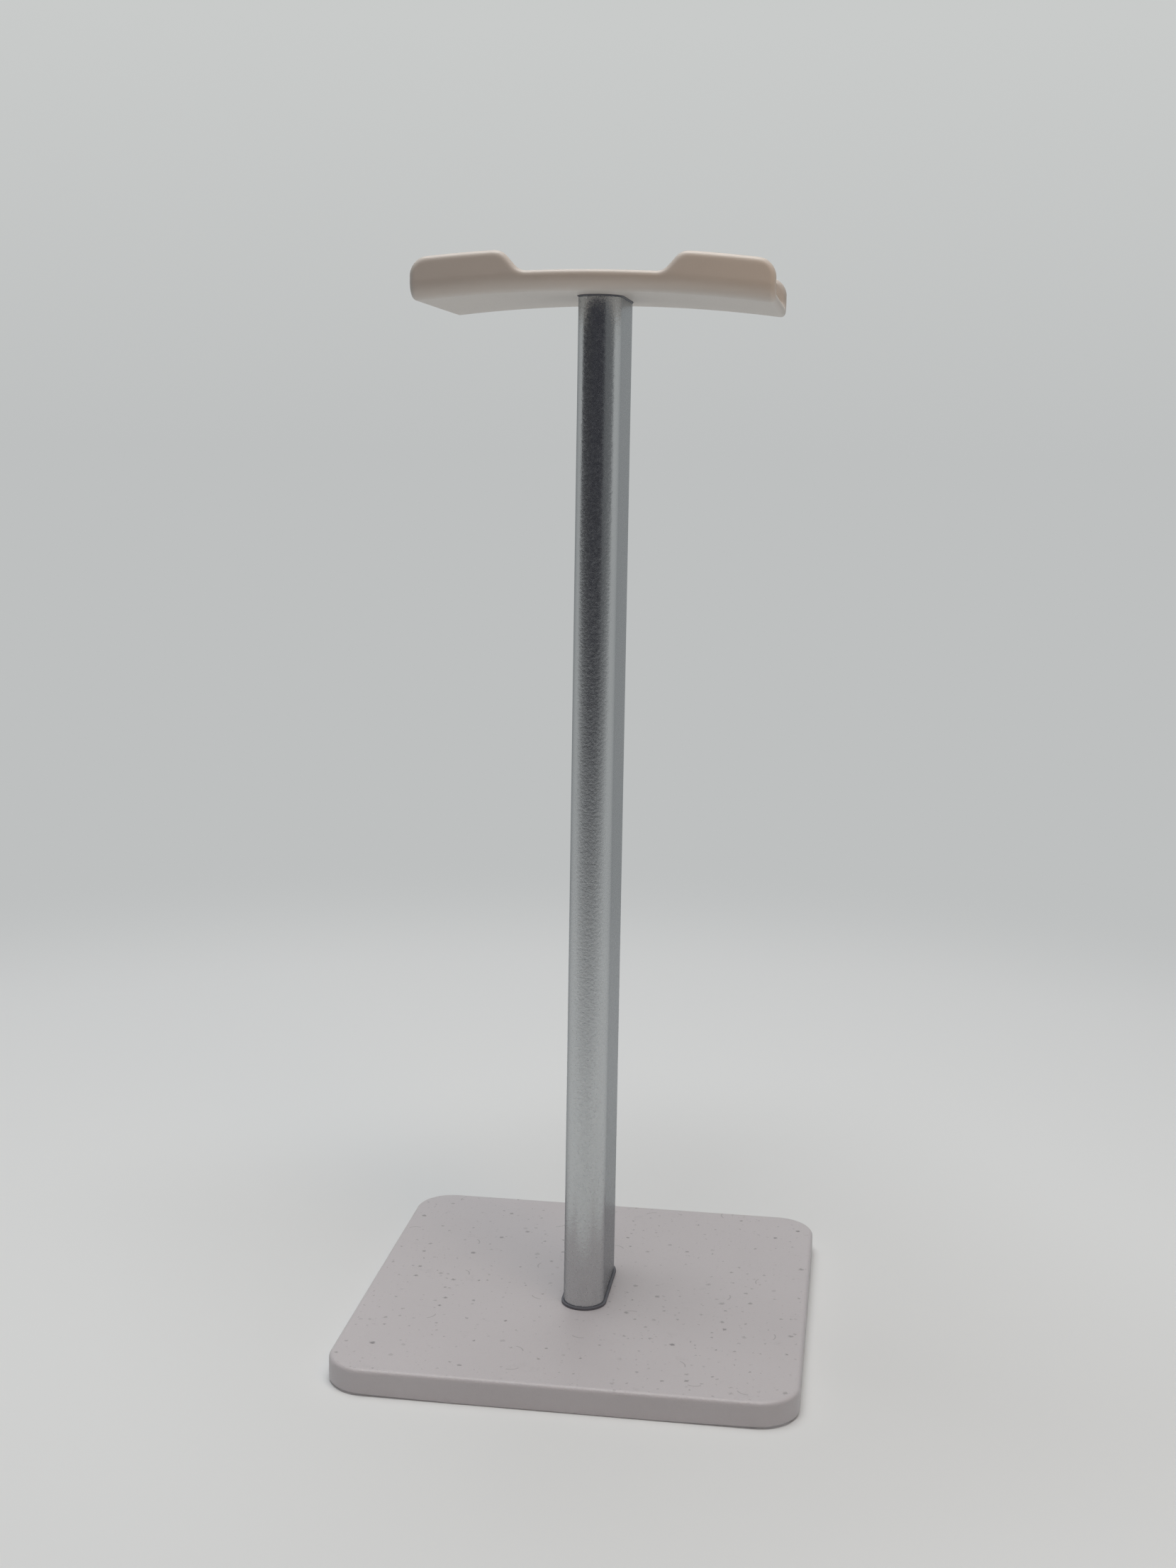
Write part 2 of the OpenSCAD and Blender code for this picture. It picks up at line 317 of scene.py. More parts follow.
@dataclass
class ShapeTree:
    """A Geometry Nodes tree with named inputs."""

    name: str
    inputs: Mapping[str, str]
    tree: bpy.types.NodeTree = field(init=False)
    add: AddNode = field(init=False)
    given: dict[str, bpy.types.NodeSocket] = field(init=False)

    def __post_init__(self) -> None:
        """Makes the tree and its inputs."""
        self.tree = bpy.data.node_groups.new(self.name, "GeometryNodeTree")
        self.add = partial(add_node, self.tree)
        sockets = {"Geometry": "Geometry", **self.inputs, "Material": "Material"}
        for name, kind in sockets.items():
            self.tree.interface.new_socket(name, in_out="INPUT", socket_type=f"NodeSocket{kind}")
        self.tree.interface.new_socket("Geometry", in_out="OUTPUT", socket_type="NodeSocketGeometry")
        self.given = {s.name: s for s in self.add("NodeGroupInput").outputs if s.name}

    def close(self, geometry: bpy.types.Node) -> None:
        """Ends the tree with real geometry and its material.

        Args:
            geometry: the node that gives the finished geometry.
        """
        real = self.add("GeometryNodeRealizeInstances", {0: geometry})
        feeds = {"Geometry": real, "Material": self.given["Material"]}
        self.add("NodeGroupOutput", {0: self.add("GeometryNodeSetMaterial", feeds)})

    def attach(self, piece: bpy.types.Object, values: Mapping[str, Any]) -> None:
        """Puts the tree on a piece with its inputs set.

        Args:
            piece: the piece.
            values: a value for each named input.
        """
        made = piece.modifiers.new(self.name, "NODES")
        made.node_group = self.tree
        for item in self.tree.interface.items_tree:
            if item.in_out == "INPUT" and item.name in values:
                made[item.identifier] = values[item.name]


def extrusion_tree() -> ShapeTree:
    """Builds the tree of an oblong extrusion with two screw channels and a chamber.

    Returns:
        The tree.
    """
    outer = ("Width", "Depth", "Length", "Base", "Channel Diameter", "Channel Pitch")
    inner = ("Chamber Width", "Chamber Depth", "Chamber Radius")
    switches = {"Has Chamber": "Bool", "Arc Steps": "Int"}
    shape = ShapeTree("oblong_extrusion", {**dict.fromkeys(outer + inner, "Float"), **switches})
    add, given = shape.add, shape.given
    # A hair under half the width, so that the two corners of an end don't meet in one point
    nearly_half = 0.4999
    round_end = add("ShaderNodeMath", {0: given["Width"], 1: nearly_half}, operation="MULTIPLY")
    outlines = []
    for width, depth, radius in (
        (given["Width"], given["Depth"], round_end),
        (given["Chamber Width"], given["Chamber Depth"], given["Chamber Radius"]),
    ):
        sides = {"Width": width, "Height": depth}
        square = add("GeometryNodeCurvePrimitiveQuadrilateral", sides, mode="RECTANGLE")
        feeds = {"Curve": square, "Count": given["Arc Steps"], "Radius": radius, "Limit Radius": True}
        outlines.append(add("GeometryNodeFilletCurve", feeds, mode="POLY"))
    feeds = {"Switch": given["Has Chamber"], "True": outlines[1]}
    chamber = add("GeometryNodeSwitch", feeds, input_type="GEOMETRY")
    bore = add("ShaderNodeMath", {0: given["Channel Diameter"], 1: 0.5}, operation="MULTIPLY")
    channel_steps = 48
    feeds = {"Resolution": channel_steps, "Radius": bore}
    ring = add("GeometryNodeCurvePrimitiveCircle", feeds, mode="RADIUS")
    channels = []
    for side in (-0.5, 0.5):
        away = add("ShaderNodeMath", {0: given["Channel Pitch"], 1: side}, operation="MULTIPLY")
        place = add("ShaderNodeCombineXYZ", {"Y": away})
        channels.append(add("GeometryNodeTransform", {"Geometry": ring, "Translation": place}))
    section = add("GeometryNodeJoinGeometry", {0: [outlines[0], chamber, *channels]})
    face = add("GeometryNodeFillCurve", {"Curve": section}, mode="NGONS")
    rise = add("ShaderNodeCombineXYZ", {"Z": given["Length"]})
    feeds = {"Mesh": face, "Offset": rise, "Offset Scale": 1.0, "Individual": False}
    pulled = add("GeometryNodeExtrudeMesh", feeds, mode="FACES")
    under = add("GeometryNodeFlipFaces", {0: face})
    both = add("GeometryNodeJoinGeometry", {0: [pulled, under]})
    weld = 0.002 * MM
    welded = add("GeometryNodeMergeByDistance", {"Geometry": both, "Distance": weld})
    base = add("ShaderNodeCombineXYZ", {"Z": given["Base"]})
    shape.close(add("GeometryNodeTransform", {"Geometry": welded, "Translation": base}))
    return shape


def set_out_tree() -> ShapeTree:
    """Builds the tree that sets a part out on the points of a mesh, each with its own turn.

    Returns:
        The tree.
    """
    shape = ShapeTree("set_out", {"Part": "Object", "Largest Turn": "Float", "Seed": "Int"})
    add, given = shape.add, shape.given
    part = add("GeometryNodeObjectInfo", {"Object": given["Part"], "As Instance": True})
    feeds = {"Max": given["Largest Turn"], "Seed": given["Seed"]}
    angle = add("FunctionNodeRandomValue", feeds, data_type="FLOAT").outputs["Value"]
    feeds = {
        "Points": given["Geometry"],
        "Instance": part.outputs["Geometry"],
        "Rotation": add("ShaderNodeCombineXYZ", {"Z": angle}),
    }
    shape.close(add("GeometryNodeInstanceOnPoints", feeds))
    return shape


def trough_tree() -> ShapeTree:
    """Builds the tree that forms a flat two-skinned blank into an arched trough.

    The blank lies flat, with X along the arch and Y along the developed section. The
    tree bends its sides up, arches it, and rounds the rims between its two skins.

    Returns:
        The tree.
    """
    sizes = ("Arch Radius", "Arch Height", "Bend Radius", "Flat Half", "Wall", "Rim Round")
    shape = ShapeTree("arched_trough", {**dict.fromkeys(sizes, "Float"), "Skin Points": "Int"})
    add = shape.add
    known: dict[str, Any] = dict(shape.given)
    flat = add("ShaderNodeSeparateXYZ", {0: add("GeometryNodeInputPosition")})
    known |= zip(("along", "across", "level"), flat.outputs)
    known["inset"] = add("GeometryNodeInputNamedAttribute", {"Name": "inset"}, data_type="FLOAT")
    known["number"] = add("GeometryNodeInputIndex")
    # Each line names a sum, its operation, and its terms: inputs, earlier sums or numbers
    for name, operation, *terms in (
        # Section: straight out to the bend, round it at this skin's own radius, straight up
        ("mid wall", "MULTIPLY", "Wall", 0.5),
        ("inner", "GREATER_THAN", "level", "mid wall"),
        ("skin", "MULTIPLY", "inner", "Wall"),
        ("radius", "SUBTRACT", "Bend Radius", "skin"),
        ("reach", "ABSOLUTE", "across"),
        ("past flat", "SUBTRACT", "reach", "Flat Half"),
        ("over", "MAXIMUM", "past flat", 0.0),
        ("full turn", "DIVIDE", "over", "radius"),
        ("turn", "MINIMUM", "full turn", QUARTER),
        ("bend length", "MULTIPLY", "radius", QUARTER),
        ("past bend", "SUBTRACT", "over", "bend length"),
        ("straight", "MAXIMUM", "past bend", 0.0),
        ("flat part", "MINIMUM", "reach", "Flat Half"),
        ("sine", "SINE", "turn"),
        ("round part", "MULTIPLY", "sine", "radius"),
        ("out", "ADD", "flat part", "round part"),
        ("sign", "SIGN", "across"),
        ("side", "MULTIPLY", "out", "sign"),
        ("cosine", "COSINE", "turn"),
        ("drop", "MULTIPLY", "cosine", "radius"),
        ("bent", "SUBTRACT", "Bend Radius", "drop"),
        ("rise", "ADD", "bent", "straight"),
        # Arch: a height above the underside is a distance from the arch's axis
        ("far", "ADD", "Arch Radius", "rise"),
        ("far square", "MULTIPLY", "far", "far"),
        ("along square", "MULTIPLY", "along", "along"),
        ("up square", "SUBTRACT", "far square", "along square"),
        ("up", "SQRT", "up square"),
        ("above arch", "SUBTRACT", "up", "Arch Radius"),
        ("height", "ADD", "above arch", "Arch Height"),
        # Rims: each skin's edge leans towards the same point of the other skin
        ("twice inner", "MULTIPLY", "inner", 2.0),
        ("other way", "SUBTRACT", 1.0, "twice inner"),
        ("step", "MULTIPLY", "other way", "Skin Points"),
        ("twin number", "ADD", "number", "step"),
        ("inset share", "DIVIDE", "inset", "Rim Round"),
        ("inside", "MINIMUM", "inset share", 1.0),
        ("share", "SUBTRACT", 1.0, "inside"),
        ("share square", "MULTIPLY", "share", "share"),
        ("left", "SUBTRACT", 1.0, "share square"),
        ("round left", "SQRT", "left"),
        ("fall", "SUBTRACT", 1.0, "round left"),
        ("lean", "MULTIPLY", "fall", "Rim Round"),
    ):
        feeds = {i: known.get(term, term) for i, term in enumerate(terms)}
        known[name] = add("ShaderNodeMath", feeds, operation=operation)
    formed = add("ShaderNodeCombineXYZ", {0: known["along"], 1: known["side"], 2: known["height"]})
    feeds = {"Value": formed, "Index": known["twin number"]}
    twin = add("GeometryNodeFieldAtIndex", feeds, data_type="FLOAT_VECTOR")
    gap = add("ShaderNodeVectorMath", {0: twin, 1: formed}, operation="SUBTRACT")
    toward = add("ShaderNodeVectorMath", {0: gap}, operation="NORMALIZE")
    move = add("ShaderNodeVectorMath", {0: toward, "Scale": known["lean"]}, operation="SCALE")
    final = add("ShaderNodeVectorMath", {0: formed, 1: move}, operation="ADD")
    shape.close(add("GeometryNodeSetPosition", {"Geometry": known["Geometry"], "Position": final}))
    return shape


# ---------------------------------------------------------------------------
# Finishes
# ---------------------------------------------------------------------------


@dataclass(frozen=True)
class Finish:
    """A real finish: its colour, how it shines, and the size and depth of its grain.

    Its tone varies in clouds of a given size, and its roughness by the gloss spread. The
    stretch scales the grain along each axis: below 1, it draws the grain out.
    """

    name: str
    colour: str
    roughness: float
    grain: float
    grain_depth: float
    metallic: float = 0.0
    ior: float = 1.5
    tone: float = 0.03
    cloud: float = 25.0
    gloss_spread: float = 0.06
    edge_tint: str = "#ffffff"
    stretch: tuple[float, float, float] = (1.0, 1.0, 1.0)

    def material(self) -> bpy.types.Material:
        """Builds the material from its nodes.

        Returns:
            The new material.
        """
        made = bpy.data.materials.new(self.name)
        add = bare_nodes(made)
        place = add("ShaderNodeTexCoord").outputs["Object"]
        run = add("ShaderNodeMapping", {"Vector": place, "Scale": self.stretch})
        feeds = {"Vector": run, "Scale": 1 / (self.grain * MM), "Detail": 3.0, "Roughness": 0.6}
        grain = add("ShaderNodeTexNoise", feeds)
        feeds = {"Vector": place, "Scale": 1 / (self.cloud * MM), "Detail": 2.0}
        cloud = add("ShaderNodeTexNoise", feeds)
        feeds = {"Value": cloud, **NOISE_SPAN, "To Min": 1 - self.tone, "To Max": 1.0}
        shade = add("ShaderNodeMapRange", feeds)
        feeds = {0: 1.0, 6: linear(self.colour), 7: shade}
        colour = add("ShaderNodeMix", feeds, data_type="RGBA", blend_type="MULTIPLY").outputs[2]
        low, high = self.roughness - self.gloss_spread, self.roughness + self.gloss_spread
        gloss = add("ShaderNodeMapRange", {"Value": grain, **NOISE_SPAN, "To Min": low, "To Max": high})
        feeds = {"Height": grain, "Distance": self.grain_depth * MM, "Strength": 1.0}
        bump = add("ShaderNodeBump", feeds)
        feeds = {
            "Base Color": self.detail(add, place, colour),
            "Metallic": self.metallic,
            "Specular Tint": linear(self.edge_tint),
            "Roughness": gloss,
            "Normal": bump,
        }
        if not self.metallic:
            feeds["IOR"] = self.ior
        add("ShaderNodeOutputMaterial", {"Surface": add("ShaderNodeBsdfPrincipled", feeds)})
        return made

    def detail(
        self, add: AddNode, place: bpy.types.NodeSocket, colour: bpy.types.NodeSocket
    ) -> bpy.types.NodeSocket:
        """Adds what lies on the surface; a plain finish has nothing there.

        Args:
            add: adds a node to the material.
            place: the surface point.
            colour: the finish's own colour.

        Returns:
            The colour that shows.
        """
        return colour


@dataclass(frozen=True)
class Specks:
    """One size of dust: how far apart it lies, how big, how often and how dark it is."""

    cell: float
    size: float
    share: float
    strength: float
    # Smallest and largest speck against its size, its soft edge, and the faintest speck
    growth: tuple[float, float] = (0.5, 1.2)
    edge: tuple[float, float] = (0.5, 1.1)
    faintest: float = 0.3

    def mask(self, add: AddNode, near: bpy.types.Node, dimensions: str) -> bpy.types.Node:
        """Adds the mask of this dust.

        Args:
            add: adds a node to the material.
            near: the warped surface point.
            dimensions: "2D" for dust that lies on a level face, "3D" on any face.

        Returns:
            The node that gives the mask.
        """
        feeds = {"Vector": near, "Scale": 1 / (self.cell * MM)}
        spots = add("ShaderNodeTexVoronoi", feeds, voronoi_dimensions=dimensions)
        split = add("ShaderNodeSeparateColor", {0: spots.outputs["Color"]})
        chance, strength, size = split.outputs
        feeds = {"Value": size, "To Min": self.growth[0], "To Max": self.growth[1]}
        growth = add("ShaderNodeMapRange", feeds)
        feeds = {0: spots.outputs["Distance"], 1: growth}
        grown = add("ShaderNodeMath", feeds, operation="DIVIDE", use_clamp=True)
        start, end = (self.size / self.cell * part for part in self.edge)
        feeds = {"Value": grown, "From Min": start, "From Max": end, "To Min": 1.0, "To Max": 0.0}
        core = add("ShaderNodeMapRange", feeds)
        there = add("ShaderNodeMath", {0: chance, 1: self.share}, operation="LESS_THAN")
        shown = add("ShaderNodeMath", {0: core, 1: there}, operation="MULTIPLY")
        low = self.strength * self.faintest
        weight = add("ShaderNodeMapRange", {"Value": strength, "To Min": low, "To Max": self.strength})
        return add("ShaderNodeMath", {0: shown, 1: weight}, operation="MULTIPLY")


@dataclass(frozen=True)
class Lint:
    """Short bowed fibres, each a piece of a ring; 0.02 mm ones are drawn wide enough to show."""

    cell: float = 19.0
    share: float = 0.6
    bow: float = 2.4
    sweep: float = 0.8
    fade: float = 0.05
    width: float = 0.13
    strength: float = 0.3

    def mask(self, add: AddNode, place: bpy.types.NodeSocket) -> bpy.types.Node:
        """Adds the mask of the lint.

        Args:
            add: adds a node to the material.
            place: the surface point.

        Returns:
            The node that gives the mask.
        """
        feeds = {"Vector": place, "Scale": 1 / (self.cell * MM)}
        knots = add("ShaderNodeTexVoronoi", feeds, voronoi_dimensions="2D")
        feeds = {"Value": knots.outputs["Distance"], "To Max": self.cell / self.bow}
        away = add("ShaderNodeMapRange", feeds)
        ring = add("ShaderNodeMath", {0: away, 1: 1.0, 2: self.width / self.bow}, operation="COMPARE")
        pick, bearing, _ = add("ShaderNodeSeparateColor", {0: knots.outputs["Color"]}).outputs
        angle = add("ShaderNodeMath", {0: bearing, 1: 2 * math.pi}, operation="MULTIPLY")
        feeds = {"Vector": (1, 0, 0), "Angle": angle}
        aim = add("ShaderNodeVectorRotate", feeds, rotation_type="Z_AXIS")
        feeds = {0: place, 1: knots.outputs["Position"]}
        leg = add("ShaderNodeVectorMath", feeds, operation="SUBTRACT")
        flat = add("ShaderNodeVectorMath", {0: leg, 1: (1, 1, 0)}, operation="MULTIPLY")
        way = add("ShaderNodeVectorMath", {0: flat}, operation="NORMALIZE")
        lead = add("ShaderNodeVectorMath", {0: way, 1: aim}, operation="DOT_PRODUCT").outputs["Value"]
        feeds = {"Value": lead, "From Min": self.sweep, "From Max": self.sweep + self.fade}
        part = add("ShaderNodeMapRange", {**feeds, "To Max": self.strength})
        there = add("ShaderNodeMath", {0: pick, 1: self.share}, operation="LESS_THAN")
        shown = add("ShaderNodeMath", {0: ring, 1: there}, operation="MULTIPLY")
        return add("ShaderNodeMath", {0: shown, 1: part}, operation="MULTIPLY")


@dataclass(frozen=True)
class UsedPlastic(Finish):
    """Moulded plastic with the dust, lint and faint rubs of use on it."""

    dust: str = "#454144"
    lying: tuple[Specks, ...] = (
        Specks(cell=5.2, size=0.55, share=0.38, strength=0.6),
        Specks(cell=3.0, size=0.34, share=0.36, strength=0.42),
        Specks(cell=1.5, size=0.18, share=0.3, strength=0.26),
    )
    clinging: Specks = Specks(cell=7.0, size=0.3, share=0.25, strength=0.3)
    lint: Lint = Lint()
    # A warp this fine and this far keeps a speck from being a round dot
    warp: float = 0.55
    warp_reach: float = 1.1
    rub: float = 5.0
    rub_start: float = 0.6
    rub_end: float = 0.85
    rub_strength: float = 0.13
    # Dust lies where the upward part of the surface's direction passes these
    settles: tuple[float, float] = (0.7, 0.98)

    def detail(
        self, add: AddNode, place: bpy.types.NodeSocket, colour: bpy.types.NodeSocket
    ) -> bpy.types.NodeSocket:
        """Adds dust, lint and rubs, most of them on faces that look up.

        Args:
            add: adds a node to the material.
            place: the surface point.
            colour: the finish's own colour.

        Returns:
            The colour that shows.
        """
        feeds = {"Vector": place, "Scale": 1 / (self.warp * MM), "Detail": 2.0}
        warp = add("ShaderNodeTexNoise", feeds).outputs["Color"]
        feeds = {0: warp, "Scale": self.warp_reach * MM}
        shift = add("ShaderNodeVectorMath", feeds, operation="SCALE")
        near = add("ShaderNodeVectorMath", {0: place, 1: shift}, operation="ADD")
        feeds = {"Vector": place, "Scale": 1 / (self.rub * MM), "Detail": 4.0, "Roughness": 0.75}
        rubs = add("ShaderNodeTexNoise", feeds)
        feeds = {"Value": rubs, "From Min": self.rub_start, "From Max": self.rub_end}
        rubbed = add("ShaderNodeMapRange", {**feeds, "To Max": self.rub_strength})
        top = self.lint.mask(add, place)
        for mask in (*(specks.mask(add, near, "2D") for specks in self.lying), rubbed):
            top = add("ShaderNodeMath", {0: top, 1: mask}, operation="MAXIMUM")
        normal = add("ShaderNodeNewGeometry").outputs["Normal"]
        upward = add("ShaderNodeSeparateXYZ", {0: normal}).outputs["Z"]
        feeds = {"Value": upward, "From Min": self.settles[0], "From Max": self.settles[1]}
        level = add("ShaderNodeMapRange", feeds)
        lying = add("ShaderNodeMath", {0: top, 1: level}, operation="MULTIPLY")
        feeds = {0: lying, 1: self.clinging.mask(add, near, "3D")}
        mask = add("ShaderNodeMath", feeds, operation="MAXIMUM")
        feeds = {0: mask, 6: colour, 7: linear(self.dust)}
        return add("ShaderNodeMix", feeds, data_type="RGBA", blend_type="MIX").outputs[2]


@dataclass(frozen=True)
class Finishes:
    """All finishes of the stand."""

    # Spark-textured ABS: a soft satin off-white with dust lying on it
    base: Finish = UsedPlastic(
        "spark_textured_abs", "#cfcacc", roughness=0.42, grain=0.45, grain_depth=0.09, ior=1.54
    )
    # The same ABS with a coarser texture that hides scratches
    cover: Finish = UsedPlastic(
        "coarse_textured_abs", "#d2cfce", roughness=0.55, grain=0.7, grain_depth=0.03, ior=1.54
    )
    # Thermoplastic rubber: warm, matte and very slightly mottled
    headrest: Finish = Finish(
        "matte_tpu", "#cdc5bd", roughness=0.42, grain=0.5, grain_depth=0.02, ior=1.5, tone=0.04
    )
    # Bead-blasted anodised aluminium: satin metal with a fine sparkle; 0.05 mm craters are
    # drawn 0.6 mm wide
    column: Finish = Finish(
        "bead_blasted_aluminium",
        "#c8cacb",
        roughness=0.25,
        grain=0.6,
        grain_depth=0.04,
        metallic=1.0,
        gloss_spread=0.05,
        edge_tint="#c0c2c4",
    )
    # Die-cut gasket rubber: dark and dull
    gasket: Finish = Finish(
        "gasket_rubber", "#6c6d74", roughness=0.6, grain=0.5, grain_depth=0.01, ior=1.52, tone=0.1
    )
    # Moulded rubber feet: near black and dull
    foot: Finish = Finish(
        "moulded_rubber", "#2e2f31", roughness=0.78, grain=0.6, grain_depth=0.03, ior=1.52, tone=0.12
    )
    # Zinc-plated steel: clean and bright
    screw: Finish = Finish(
        "zinc_plated_steel", "#b9bcc0", roughness=0.24, grain=0.4, grain_depth=0.004, metallic=1.0
    )
    # Zinc-plated steel plate, brushed first: fine lines along the plate
    clamp: Finish = Finish(
        "zinc_plated_brushed_plate",
        "#a9abad",
        roughness=0.3,
        grain=0.5,
        grain_depth=0.008,
        metallic=1.0,
        stretch=(1.0, 0.04, 1.0),
    )
    # Zinc-plated hot-rolled plate: dull grey with a rolled grain
    ballast: Finish = Finish(
        "zinc_plated_rolled_plate",
        "#8a8d90",
        roughness=0.5,
        grain=0.9,
        grain_depth=0.02,
        metallic=1.0,
        stretch=(0.15, 1.0, 1.0),
    )


# ---------------------------------------------------------------------------
# Sub-assemblies
# ---------------------------------------------------------------------------


@dataclass
class SetOut:
    """A part repeated on a list of places."""

    tree: ShapeTree
    seed: int

    def build(
        self,
        name: str,
        part: bpy.types.Object,
        places: Sequence[tuple[float, float, float]],
        material: bpy.types.Material,
        turn: float = 0.0,
    ) -> bpy.types.Object:
        """Sets the part out and turns the result into one mesh.

        Args:
            name: the new piece's name.
            part: the part, which is used up.
            places: where its origin goes, in metres.
            material: its finish.
            turn: the largest random turn about Z, in radians.

        Returns:
            The new piece.
        """
        piece = new_object(name, mesh_of(name, np.array(places) / MM, []))
        part.hide_render = True
        values = {"Part": part, "Largest Turn": turn, "Seed": self.seed, "Material": material}
        self.tree.attach(piece, values)
        plain_mesh(piece)
        bpy.data.objects.remove(part)
        return piece


@dataclass
class Workshop:
    """What every sub-assembly uses: finishes, the screws' plating and the set-out tool."""

    finishes: Finishes
    plating: bpy.types.Material
    set_out: SetOut


@dataclass(frozen=True)
class Thread:
    """A metric thread, with the height of the straight rim of its countersunk head."""

    diameter: float
    pitch: float
    rim: float


M2_5 = Thread(diameter=2.5, pitch=0.45, rim=0.1)
M4 = Thread(diameter=4.0, pitch=0.7, rim=0.3)


@dataclass
class Screws:
    """A set of countersunk machine screws with cross recesses, which stands for one CAD node.

    A screw's length comes from the node. The thread's form gives, for each point, whether
    it is on the crest and how far along the turn it is. The recess's sizes are shares of
    the head's width.
    """

    node: str
    name: str
    thread: Thread
    facing: Facing
    steps: int = 48
    edge_break: float = 0.12
    edge_share: float = 0.8
    thread_depth: float = 0.55
    thread_form: tuple[tuple[bool, float], ...] = (
        (False, 0.3),
        (False, 0.5),
        (True, 0.85),
        (True, 1.0),
    )
    lead_in: float = 0.2
    plain_end: float = 0.4
    tip: float = 0.3
    tip_taper: float = 0.75
    recess_arm: float = 0.27
    recess_slot: float = 0.065
    recess_depth: float = 0.26
    recess_above: float = 0.5
    recess_taper: tuple[float, float] = (1.06, 0.62)

    def profile(self, head: float, length: float) -> list[tuple[float, float]]:
        """Traces half of a screw's section, from its head face at z = 0.

        Args:
            head: radius of its head.
            length: its length.

        Returns:
            Radius and z of each point.
        """
        shank, pitch, rim = self.thread.diameter / 2, self.thread.pitch, self.thread.rim
        cone_end = rim + head - shank
        edge = min(self.edge_break, rim * self.edge_share)
        points = [(head - edge, 0.0), (head, edge), (head, rim), (shank, cone_end)]
        root = shank - self.thread_depth * pitch
        z = cone_end + self.lead_in * pitch
        while z + pitch < length - self.plain_end:
            for crest, part in self.thread_form:
                points.append((shank if crest else root, z + part * pitch))
            z += pitch
        return points + [(root, length - self.tip), (root * self.tip_taper, length)]

    def recess(self, width: float) -> bpy.types.Mesh:
        """Makes the solid that cuts the cross recess.

        Args:
            width: the head's width.

        Returns:
            The solid's mesh.
        """
        rings = []
        levels = (-self.recess_above, width * self.recess_depth)
        for z, grow in zip(levels, self.recess_taper):
            arm, slot = width * self.recess_arm * grow, width * self.recess_slot * grow
            corner = np.array([[arm, -slot], [arm, slot], [slot, slot]])
            turns = [(math.cos(t), math.sin(t)) for t in np.arange(4) * QUARTER]
            ring = np.vstack([corner @ np.array([[cos, sin], [-sin, cos]]) for cos, sin in turns])
            rings.append(np.column_stack([ring, np.full(len(ring), z)]))
        return loft("cross_recess", rings)

    def build(self, head: float, spots: Sequence[tuple[float, float]], shop: Workshop) -> None:
        """Builds the set.

        Args:
            head: width of a screw's head, in metres.
            spots: x and y of each screw, in metres.
            shop: the finishes and the tool that repeats a part.
        """
        low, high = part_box(self.node)
        width = head / MM
        profile = self.profile(width / 2, (high.z - low.z) / MM)
        screw = new_object("screw", loft("screw", [circle(r, z, self.steps) for r, z in profile]))
        cut(screw, [self.recess(width)])
        face = low.z
        if self.facing is Facing.UP:
            screw.data.transform(Matrix.Rotation(math.pi, 4, "X"))
            face = high.z
        places = [(x, y, face) for x, y in spots]
        piece = shop.set_out.build(self.name, screw, places, shop.plating, math.pi)
        seat(piece, "screw_steel", self.node)


@dataclass
class Base:
    """The weighted base: shell, ballast, bottom cover, cover screws and feet."""

    shop: Workshop
    foot_corner: float = 0.35
    foot_corner_steps: int = 6
    foot_dish: float = 0.15
    foot_dish_width: float = 0.62
    foot_dish_flat: tuple[float, float] = (0.2, 0.8)
    boss_inset: float = 10.0

    def build(self) -> None:
        """Builds and dresses every piece of the base."""
        finishes = self.shop.finishes
        dress_node("base_shell", finishes.base)
        dress_node("ballast_plate", finishes.ballast)
        dress_node("base_bottom_cover", finishes.cover)
        self.feet()
        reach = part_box("base_shell")[1].x - self.boss_inset * MM
        head = (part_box("cover_screws")[1].x - reach) * 2
        spots = [(reach, 0.0), (0.0, reach), (-reach, 0.0), (0.0, -reach)]
        Screws("cover_screws", "cover_screw_set", M2_5, Facing.DOWN).build(head, spots, self.shop)

    def feet(self) -> None:
        """Moulds the foot once, with a soft lower edge and a shallow dish, and sets out four."""
        nodes = [f"foot_{end}_{side}" for end in ("front", "rear") for side in ("left", "right")]
        boxes = [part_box(node) for node in nodes]
        low, high = boxes[0]
        radius, height = (high.x - low.x) / 2 / MM, (high.z - low.z) / MM
        dish = radius * self.foot_dish_width
        profile = [(dish * part, self.foot_dish) for part in self.foot_dish_flat] + [(dish, 0.0)]
        for step in range(self.foot_corner_steps + 1):
            turn = math.radians(90 / self.foot_corner_steps * step)
            inward = self.foot_corner * (1 - math.sin(turn))
            profile.append((radius - inward, self.foot_corner * (1 - math.cos(turn))))
        profile.append((radius, height))
        foot = new_object("foot", loft("foot", [circle(r, z) for r, z in profile]))
        places = [((a.x + b.x) / 2, (a.y + b.y) / 2, a.z) for a, b in boxes]
        piece = self.shop.set_out.build("rubber_feet", foot, places, self.shop.finishes.foot.material())
        seat(piece, "foot_rubber", *nodes)


